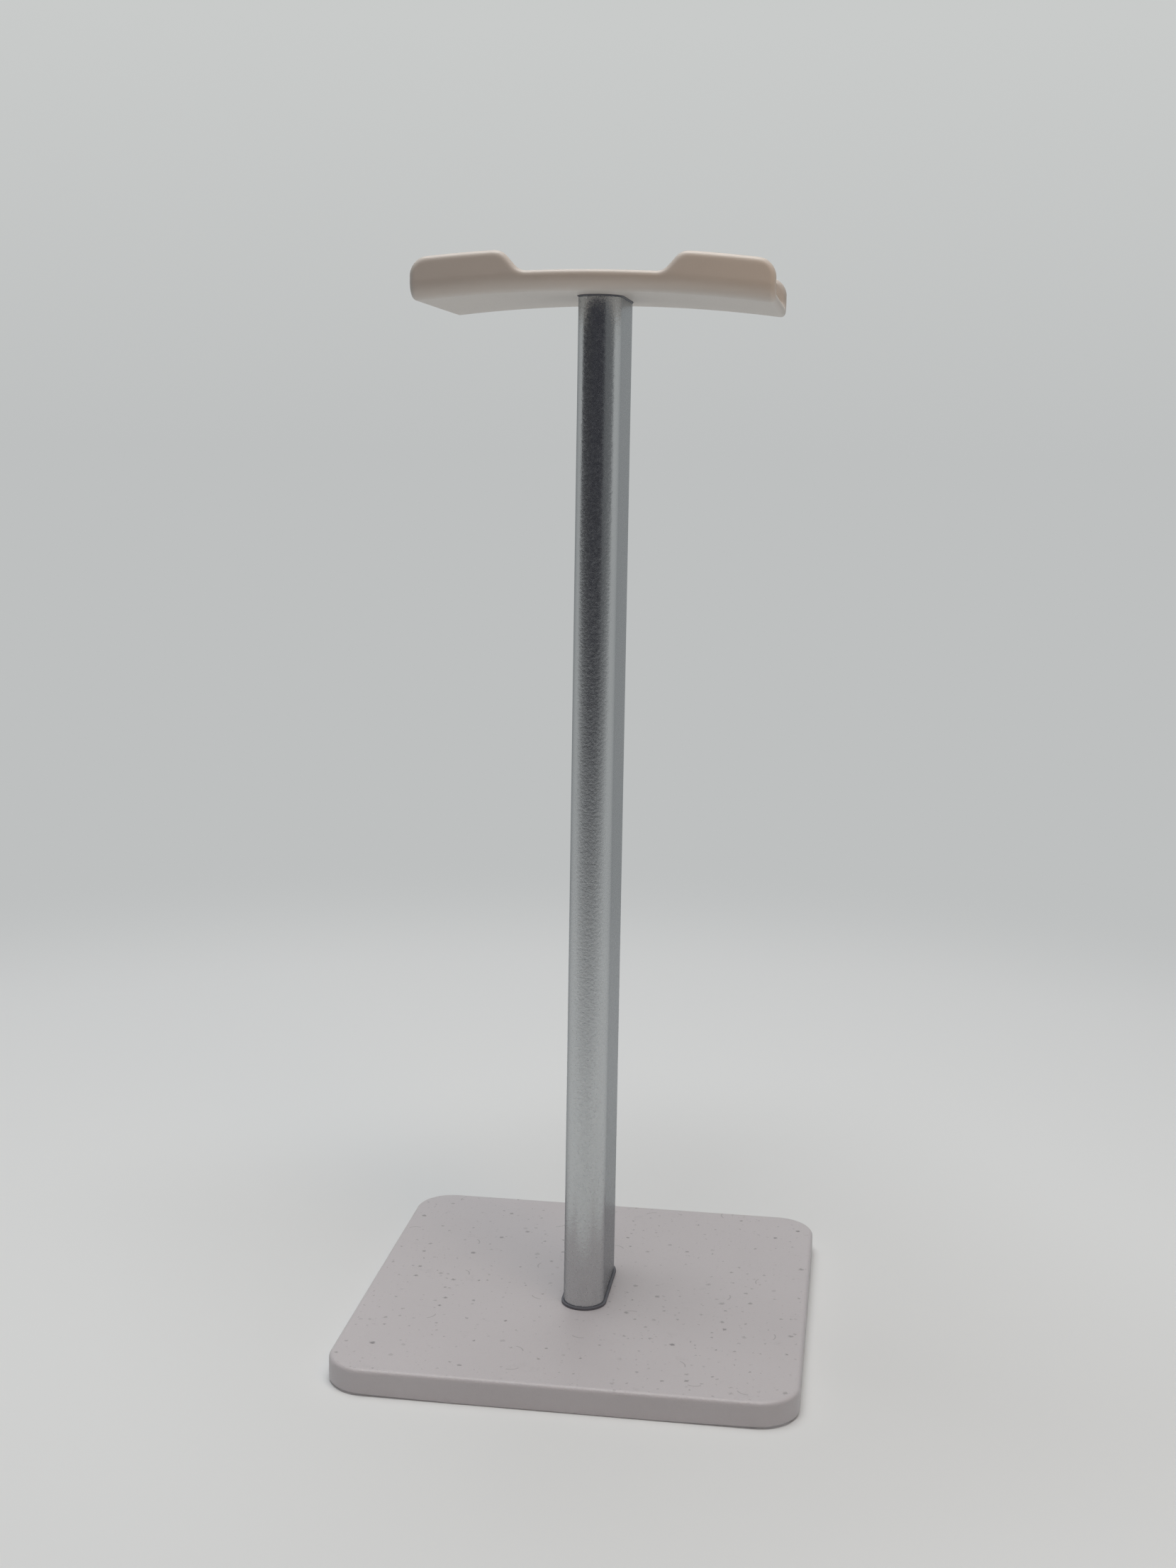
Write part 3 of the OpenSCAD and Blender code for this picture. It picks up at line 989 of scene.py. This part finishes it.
@dataclass
class Column:
    """The extruded column with its gaskets and lower screws."""

    shop: Workshop
    channel_diameter: float = 4.1
    gasket_hole: float = 4.4
    chamber_width: float = 6.4
    chamber_depth: float = 9.7
    chamber_radius: float = 1.0
    arc_steps: int = 40
    edge_break: float = 0.12
    edge_angle: float = 40.0
    # Sharper than the broken edge, so that the long sides keep their true normals
    crisp: float = 15.0

    def build(self) -> None:
        """Builds and dresses every piece of the column."""
        finishes, tree = self.shop.finishes, extrusion_tree()
        metal = (finishes.column.material(), "column_aluminium", self.channel_diameter, True)
        rubber = (finishes.gasket.material(), "gasket_rubber", self.gasket_hole, False)
        for name, node, (material, slot, hole, hollow) in (
            ("column_extrusion", "column", metal),
            ("foot_gasket", "column_foot_gasket", rubber),
            ("head_gasket", "column_head_gasket", rubber),
        ):
            piece = new_object(name, bpy.data.meshes.new(name))
            low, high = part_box(node)
            values = {
                "Width": high.x - low.x,
                "Depth": high.y - low.y,
                "Length": high.z - low.z,
                "Base": low.z,
                "Channel Diameter": hole * MM,
                "Channel Pitch": CHANNEL_PITCH * MM,
                "Has Chamber": hollow,
                "Chamber Width": self.chamber_width * MM,
                "Chamber Depth": self.chamber_depth * MM,
                "Chamber Radius": self.chamber_radius * MM,
                "Arc Steps": self.arc_steps,
                "Material": material,
            }
            tree.attach(piece, values)
            soft = piece.modifiers.new("edge_break", "BEVEL")
            soft.width, soft.segments, soft.limit_method = self.edge_break * MM, 2, "ANGLE"
            soft.angle_limit = math.radians(self.edge_angle)
            plain_mesh(piece, self.crisp)
            seat(piece, slot, node)
        low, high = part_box("column_lower_screws")
        screws = Screws("column_lower_screws", "lower_screw_set", M4, Facing.DOWN)
        screws.build(high.x - low.x, CHANNEL_SPOTS, self.shop)


@dataclass
class Headrest:
    """The arched trough with raised ears, its clamp plate and its screws.

    ear and notch are the rim's heights above the underside, and the slope between them has
    its middle at slope_x. The rim's rounding reaches in over rim_band.
    """

    shop: Workshop
    length: float = 74.0
    depth: float = 49.0
    wall: float = 2.5
    arch_radius: float = 300.0
    bend_radius: float = 3.8
    ear: float = 8.3
    notch: float = 4.05
    slope_x: float = 16.3
    slope_angle: float = 48.0
    ear_outer: float = 4.0
    ear_inner: float = 3.5
    notch_round: float = 3.0
    path_steps: int = 40
    rim_round: float = 1.2
    rim_band: float = 1.7
    rim_steps: int = 6
    columns: int = 92
    floor_rows: int = 10
    rows: int = 30
    seat_depth: float = 0.1
    hole: float = 6.0
    hole_steps: int = 48
    clearance: float = 0.15
    # How far a cut runs on into the open, and how far a hole does
    cut_past: float = 2.0
    hole_past: float = 1.0

    def rim_path(self) -> tuple[np.ndarray, np.ndarray]:
        """Traces the rim as seen from the front, about the arch's axis.

        Returns:
            The top path from the middle to the middle of the outer corner, and the end
            path from there down to the underside. Each row is x and height from the axis.
        """
        ear, notch = self.arch_radius + self.ear, self.arch_radius + self.notch
        angle = math.radians(self.slope_angle)
        run = np.array([math.cos(angle), math.sin(angle)])
        inward = np.array([math.sin(angle), -math.cos(angle)])
        middle = np.array([self.slope_x, math.sqrt(((ear + notch) / 2) ** 2 - self.slope_x**2)])

        def reach(start: np.ndarray, distance: float) -> np.ndarray:
            """Where a line along the slope gets this far from the axis."""
            lead = float(start @ run)
            return start + run * (math.sqrt(lead**2 - start @ start + distance**2) - lead)

        def arc(centre: np.ndarray, radius: float, start: float, end: float) -> np.ndarray:
            """Points of an arc."""
            turn = np.linspace(start, end, self.path_steps)
            return centre + radius * np.column_stack([np.cos(turn), np.sin(turn)])

        def bearing(point: np.ndarray) -> float:
            """Angle of a point seen from the axis."""
            return math.atan2(point[1], point[0])

        outer_x = self.length / 2 - self.ear_outer
        outer = np.array([outer_x, math.sqrt((ear - self.ear_outer) ** 2 - outer_x**2)])
        upper = reach(middle + inward * self.ear_inner, ear - self.ear_inner)
        lower = reach(middle - inward * self.notch_round, notch + self.notch_round)
        axis = np.zeros(2)
        diagonal = math.pi / 4
        top = np.vstack(
            [
                arc(axis, notch, QUARTER, bearing(lower)),
                arc(lower, self.notch_round, bearing(lower) - math.pi, angle - QUARTER),
                arc(upper, self.ear_inner, angle + QUARTER, bearing(upper)),
                arc(axis, ear, bearing(upper), bearing(outer)),
                arc(outer, self.ear_outer, bearing(outer), diagonal),
            ]
        )
        foot = np.array([self.length / 2, math.sqrt(self.arch_radius**2 - (self.length / 2) ** 2)])
        straight = np.linspace(outer + [self.ear_outer, 0], foot, self.path_steps)
        return top, np.vstack([arc(outer, self.ear_outer, diagonal, 0), straight])

    def rim_reach(self, height: np.ndarray) -> np.ndarray:
        """Finds how far the wall runs along its middle to carry a rounded rim of some height.

        Args:
            height: heights of the rim's top above the underside.

        Returns:
            Distances from the middle of the floor.
        """
        middle = self.bend_radius - self.wall / 2
        above = height - self.wall / 2 - self.bend_radius
        turn = np.arccos(np.clip(-above / middle, 0, 1))
        return self.depth / 2 - self.bend_radius + middle * turn + np.maximum(above, 0) + self.wall / 2

    def spread(self, count: int, total: np.ndarray) -> np.ndarray:
        """Spaces lines from the middle to a rim, close together inside the rim's rounding.

        Args:
            count: how many even steps come before the rim.
            total: the distance from the middle to the rim.

        Returns:
            Distances, with the lines along the first axis.
        """
        even = np.linspace(0, 1, count + 1)[:, None] * (total - self.rim_band)
        turn = np.linspace(0, QUARTER, self.rim_steps + 1)[1:, None]
        return np.vstack([even, total - self.rim_band * (1 - np.sin(turn))])

    def layout(self) -> tuple[np.ndarray, np.ndarray, np.ndarray]:
        """Lays out the middle of the flat blank's wall.

        Returns:
            On a grid of rows and columns, each point's x, its distance along the
            section, and how far it is inside the rim.
        """
        top, end = self.rim_path()
        steps = np.hypot(*np.diff(top, axis=0).T)
        apart = steps > SAME
        top = top[np.concatenate([[True], apart])]
        run = np.concatenate([[0], np.cumsum(steps[apart])])
        along = self.spread(self.columns, np.array([run[-1]]))[:, 0]
        x_top, z_top = (np.interp(along, run, top[:, i]) for i in (0, 1))
        flat = self.depth / 2 - self.bend_radius
        reach = self.rim_reach(np.hypot(x_top, z_top) - self.arch_radius)[None, :]
        floor = np.linspace(0, flat, self.floor_rows, endpoint=False)[:, None] + 0 * reach
        across = np.vstack([floor, flat + self.spread(self.rows, reach - flat)])
        heights = np.hypot(*end.T) - self.arch_radius
        middle = self.bend_radius - self.wall / 2
        over = np.maximum(across[:, -1] - flat, 0)
        level = self.bend_radius - middle * np.cos(np.minimum(over / middle, QUARTER))
        level += np.maximum(over - middle * QUARTER, 0)
        x_end = np.interp(level, heights[::-1], end[::-1, 0])
        x = x_top[None, :] + (along / run[-1])[None, :] * (x_end - x_end[-1])[:, None]
        quarter = np.stack([x, across], axis=-1)
        inset = self.inset(quarter, np.vstack([quarter[-1, :], quarter[::-1, -1]]))

        def mirrored(part: np.ndarray, x_sign: int, y_sign: int) -> np.ndarray:
            """Spreads one quarter to all four."""
            half = np.vstack([part[:0:-1] * y_sign, part])
            return np.hstack([half[:, :0:-1] * x_sign, half])

        return mirrored(x, -1, 1), mirrored(across, 1, -1), mirrored(inset, 1, 1)

    def inset(self, points: np.ndarray, line: np.ndarray) -> np.ndarray:
        """Measures how far points are from a line of points.

        Args:
            points: the points, on a grid.
            line: the line's points in order.

        Returns:
            The distances, on the same grid.
        """
        start, leg = line[:-1], np.diff(line, axis=0)
        leg_square = np.maximum((leg**2).sum(-1), SAME**2)
        best = np.full(points.shape[:-1], np.inf)
        for origin, step, square in zip(start, leg, leg_square):
            share = np.clip(((points - origin) @ step) / square, 0, 1)
            away = points - origin - share[..., None] * step
            best = np.minimum(best, np.hypot(*np.moveaxis(away, -1, 0)))
        return best

    def blank(self) -> bpy.types.Mesh:
        """Makes the flat blank: two skins joined all round their rim.

        Returns:
            The blank's mesh, with the distance from the rim as the attribute "inset".
        """
        x, across, inset = self.layout()
        flat = self.depth / 2 - self.bend_radius
        over = np.maximum(np.abs(across) - flat, 0)
        middle = self.bend_radius - self.wall / 2
        bent = np.minimum(over, middle * QUARTER)
        turn = bent / middle
        layers = []
        for level, radius in ((0.0, self.bend_radius), (self.wall, self.bend_radius - self.wall)):
            reach = np.minimum(np.abs(across), flat) + radius * turn + over - bent
            layers.append(np.dstack([x, np.sign(across) * reach, np.full(x.shape, level)]))
        rows, cols = layers[0].shape[:2]
        count = rows * cols
        grid = np.arange(count).reshape(rows, cols)
        a, b, c, d = grid[:-1, :-1], grid[:-1, 1:], grid[1:, 1:], grid[1:, :-1]
        quads = np.stack([a, b, c, d], axis=-1).reshape(-1, 4)
        rim = np.concatenate([grid[0, :-1], grid[:-1, -1], grid[-1, :0:-1], grid[:0:-1, 0]])
        after = np.roll(rim, -1)
        sides = np.column_stack([rim, after, after + count, rim + count])
        faces = np.vstack([quads[:, ::-1], quads + count, sides])
        points = np.vstack([layer.reshape(-1, 3) for layer in layers])
        mesh = mesh_of("headrest_blank", points, faces)
        attribute = mesh.attributes.new("inset", "FLOAT", "POINT")
        attribute.data.foreach_set("value", np.tile(inset.ravel(), 2) * MM)
        return mesh

    def build(self) -> None:
        """Builds and dresses every piece of the headrest."""
        plate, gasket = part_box("headrest_clamp_plate"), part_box("column_head_gasket")
        underside = plate[1].z - self.wall * MM
        piece = new_object("headrest_moulding", self.blank())
        values = {
            "Arch Radius": self.arch_radius * MM,
            "Arch Height": underside,
            "Bend Radius": self.bend_radius * MM,
            "Flat Half": (self.depth / 2 - self.bend_radius) * MM,
            "Wall": self.wall * MM,
            "Rim Round": self.rim_round * MM,
            "Skin Points": len(piece.data.vertices) // 2,
            "Material": self.shop.finishes.headrest.material(),
        }
        trough_tree().attach(piece, values)
        plain_mesh(piece)
        bottom, top = underside / MM, plate[1].z / MM
        cutters = []
        for name, (low, high), levels in (
            ("plate_recess", plate, (plate[0].z / MM, top + self.cut_past)),
            ("gasket_seat", gasket, (bottom - self.cut_past, bottom + self.seat_depth)),
        ):
            width, depth = ((high[i] - low[i]) / MM + 2 * self.clearance for i in (0, 1))
            cutters.append(loft(name, [oblong(width, depth, z) for z in levels]))
        for x, y in CHANNEL_SPOTS:
            levels = (bottom - self.hole_past, top + self.hole_past)
            rings = [circle(self.hole / 2, z, self.hole_steps) for z in levels]
            cutters.append(loft("screw_hole", [ring + [x / MM, y / MM, 0] for ring in rings]))
        cut(piece, cutters)
        seat(piece, "headrest_tpu", "headrest")
        dress_node("headrest_clamp_plate", self.shop.finishes.clamp)
        low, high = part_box("headrest_screws")
        screws = Screws("headrest_screws", "headrest_screw_set", M4, Facing.UP)
        screws.build(high.x - low.x, CHANNEL_SPOTS, self.shop)


# ---------------------------------------------------------------------------
# Studio
# ---------------------------------------------------------------------------


@dataclass
class Lamp:
    """A soft box light that looks at the stand."""

    name: str
    place: tuple[float, float, float]
    size: tuple[float, float]
    watts: float
    colour: str = "#ffffff"
    shines: bool = True
    spread: float = 180.0

    def build(self, aim: Vector) -> None:
        """Adds the lamp.

        Args:
            aim: the point that it looks at.
        """
        data = bpy.data.lights.new(self.name, "AREA")
        data.shape, data.size, data.size_y = "RECTANGLE", *self.size
        data.energy, data.spread = self.watts, math.radians(self.spread)
        data.color = linear(self.colour)[:3]
        lamp = new_object(self.name, data)
        lamp.location = self.place
        lamp.visible_glossy = self.shines
        lamp.rotation_mode = "QUATERNION"
        lamp.rotation_quaternion = (aim - Vector(self.place)).to_track_quat("-Z", "Y")


@dataclass(kw_only=True)
class Card:
    """A dim flat card for the room around the camera, which doesn't see it; its glow is painted light
    of that room, seen in reflections and in light bounced onto matte faces.
    """

    name: str
    centre: tuple[float, float, float]
    faces: tuple[float, float, float] = (0.0, 0.0, 0.3)
    size: tuple[float, float]
    colour: str

    def clearness(self, add: AddNode) -> Any:
        """Gives how clear the card is, as a value or a node."""
        return 0.0

    def build(self) -> None:
        """Adds the card."""
        width, height = (s / 2 / MM for s in self.size)
        corners = np.array([(x * width, y * height, 0) for x, y in CORNERS])
        mesh = mesh_of(self.name, corners, [range(4)])
        look = (Vector(self.faces) - Vector(self.centre)).to_track_quat("Z", "Y")
        mesh.transform(Matrix.Translation(self.centre) @ look.to_matrix().to_4x4())
        card = new_object(self.name, mesh)
        made = bpy.data.materials.new(self.name)
        add = bare_nodes(made)
        # The glow is painted light: the card is no lamp, yet it lights matte faces and shows in
        # reflections
        glow = add("ShaderNodeEmission", {"Color": linear(self.colour), "Strength": 1.0})
        clear = add("ShaderNodeBsdfTransparent")
        both = add("ShaderNodeMixShader", {0: self.clearness(add), 1: glow, 2: clear})
        add("ShaderNodeOutputMaterial", {"Surface": both})
        dress(card, made)
        card.visible_camera = card.visible_transmission = card.visible_shadow = False


@dataclass(kw_only=True)
class PaintedShadeCard(Card):
    """A card on the floor that clears towards the stand, between two distances along Y; its dark glow
    is painted shade on the floor in front, seen only in reflections and in light bounced onto faces
    looking forward.
    """

    start: float
    end: float

    def clearness(self, add: AddNode) -> Any:
        """Gives how clear the card is.

        Args:
            add: adds a node to the card's material.

        Returns:
            The node that gives it, from 0 far from the stand to 1 near it.
        """
        place = add("ShaderNodeTexCoord").outputs["Object"]
        ahead = add("ShaderNodeSeparateXYZ", {0: place}).outputs["Y"]
        return add("ShaderNodeMapRange", {"Value": ahead, "From Min": self.end, "From Max": self.start})


@dataclass
class Studio:
    """A plain pale floor, soft light and the camera.

    The camera's place and the gap under the feet are millimetres, and its focal length is
    in lines of the image.
    """

    focal: float = 2763.3
    image_height: float = 2212.0
    azimuth: float = 8.033
    pitch: float = 9.633
    roll: float = 0.931
    place: tuple[float, float, float] = (57.40, -422.16, 195.49)
    sensor: float = 36.0
    clip: tuple[float, float] = (0.01, 50.0)
    floor_half: float = 6.0
    floor_gap: float = 0.02
    floor_colour: str = "#f2f4f4"
    far_colour: str = "#bec0c0"
    high_colour: str = "#c9cbca"
    horizon_start: float = 0.3
    horizon_end: float = 0.52
    climb: float = 0.2
    air_colour: str = "#e8ecef"
    air_strength: float = 0.1

    def camera(self) -> None:
        """Adds the camera."""
        data = bpy.data.cameras.new("camera")
        data.sensor_fit, data.sensor_width = "AUTO", self.sensor
        data.lens = self.focal / self.image_height * self.sensor
        data.clip_start, data.clip_end = self.clip
        camera = new_object("camera", data)
        side, down, tilt = (math.radians(a) for a in (self.azimuth, self.pitch, self.roll))
        level = Vector((-math.sin(side), math.cos(side), 0))
        ahead = level * math.cos(down) + Vector((0, 0, -math.sin(down)))
        right = Vector((math.cos(side), math.sin(side), 0))
        above = right.cross(ahead)
        x_axis = right * math.cos(tilt) + above * math.sin(tilt)
        y_axis = above * math.cos(tilt) - right * math.sin(tilt)
        turn = Matrix((x_axis, y_axis, -ahead)).transposed()
        camera.matrix_world = Matrix.Translation(Vector(self.place) * MM) @ turn.to_4x4()
        bpy.context.scene.camera = camera

    def floor(self) -> None:
        """Adds the floor, which turns to the backdrop's tone away from the stand.

        It lies a hair under the feet. From below it is clear, and it lets light pass, so
        that a small lamp under it shows the underside.
        """
        half = self.floor_half / MM
        corners = np.array([(x * half, y * half, -self.floor_gap) for x, y in CORNERS])
        floor = new_object("studio_floor", mesh_of("studio_floor", corners, [range(4)]))
        made = bpy.data.materials.new("matte_paper")
        add = bare_nodes(made)
        place = add("ShaderNodeTexCoord").outputs["Object"]
        distance = add("ShaderNodeVectorMath", {0: place}, operation="LENGTH").outputs["Value"]
        feeds = {"Value": distance, "From Min": self.horizon_start, "From Max": self.horizon_end}
        away = add("ShaderNodeMapRange", feeds, interpolation_type="SMOOTHSTEP")
        paper = add("ShaderNodeBsdfDiffuse", {"Color": linear(self.floor_colour), "Roughness": 0.5})
        far = add("ShaderNodeEmission", {"Color": linear(self.far_colour), "Strength": 1.0})
        both = add("ShaderNodeMixShader", {0: away, 1: paper, 2: far})
        back = add("ShaderNodeNewGeometry").outputs["Backfacing"]
        lit = add("ShaderNodeLightPath").outputs["Is Shadow Ray"]
        passed = add("ShaderNodeMath", {0: back, 1: lit}, operation="MAXIMUM")
        clear = add("ShaderNodeBsdfTransparent")
        sided = add("ShaderNodeMixShader", {0: passed, 1: both, 2: clear})
        add("ShaderNodeOutputMaterial", {"Surface": sided})
        dress(floor, made)

    def world(self) -> None:
        """Sets the even light from all round and the backdrop's tone."""
        world = bpy.data.worlds.new("studio")
        bpy.context.scene.world = world
        add = bare_nodes(world)
        rays = add("ShaderNodeLightPath").outputs
        seen = rays["Is Camera Ray"]
        for ray in ("Is Glossy Ray", "Is Transmission Ray"):
            seen = add("ShaderNodeMath", {0: seen, 1: rays[ray]}, operation="MAXIMUM")
        feeds = {"Color": linear(self.air_colour), "Strength": self.air_strength}
        air = add("ShaderNodeBackground", feeds)
        heading = add("ShaderNodeTexCoord").outputs["Generated"]
        height = add("ShaderNodeSeparateXYZ", {0: heading}).outputs["Z"]
        climb = add("ShaderNodeMapRange", {"Value": height, "From Min": 0.0, "From Max": self.climb})
        feeds = {0: climb, 6: linear(self.far_colour), 7: linear(self.high_colour)}
        tone = add("ShaderNodeMix", feeds, data_type="RGBA").outputs[2]
        backdrop = add("ShaderNodeBackground", {"Color": tone, "Strength": 1.0})
        both = add("ShaderNodeMixShader", {0: seen, 1: air, 2: backdrop})
        add("ShaderNodeOutputWorld", {"Surface": both})

    def build(self) -> None:
        """Builds the whole studio."""
        self.camera()
        self.floor()
        self.world()
        aim = Vector((0, 0, 0.12))
        for lamp in (
            Lamp("top_box", place=(-0.05, -0.03, 1.1), size=(0.9, 0.7), watts=8.8),
            Lamp(
                "front_fill",
                place=(0.3, -1.1, 0.4),
                size=(0.8, 0.8),
                watts=0.38,
                colour="#ffc090",
                shines=False,
            ),
            Lamp(
                "side_fill",
                place=(0.10, -0.12, 0.25),
                size=(0.06, 0.06),
                watts=0.032,
                colour="#ffd4a2",
                shines=False,
            ),
            Lamp(
                "under_box",
                place=(0.0, 0.0, -0.03),
                size=(0.095, 0.095),
                watts=0.014,
                shines=False,
                spread=24.0,
            ),
        ):
            lamp.build(aim)
        for card in (
            # Glowing cards: painted dim room light for reflections and bounce; the floor card after
            # them is painted shade
            Card(name="dark_room", centre=(0.0, -1.8, 0.6), size=(2.6, 1.2), colour="#3a3a40"),
            Card(name="dark_left", centre=(-1.7, -1.0, 0.6), size=(2.4, 1.2), colour="#3c3c40"),
            Card(name="dim_right", centre=(1.7, -1.0, 0.6), size=(2.2, 1.2), colour="#707274"),
            # Painted shade: a dark glowing sheet that darkens the floor in front in reflections and
            # bounce
            PaintedShadeCard(
                name="dark_table",
                centre=(0.0, -1.05, 0.001),
                faces=(0.0, -1.05, 1.0),
                size=(4.0, 1.9),
                colour="#303036",
                start=-0.12,
                end=-0.95,
            ),
        ):
            card.build()
        bpy.context.scene.view_settings.view_transform = "Standard"


def main() -> None:
    """Builds the stand and its studio."""
    logging.basicConfig(level=logging.INFO, format="%(message)s")
    finishes = Finishes()
    shop = Workshop(finishes, finishes.screw.material(), SetOut(set_out_tree(), seed=7))
    for assembly in (Base(shop), Column(shop), Headrest(shop)):
        LOG.info("%s", type(assembly).__name__)
        assembly.build()
    Studio().build()


if __name__ == "__main__":
    main()
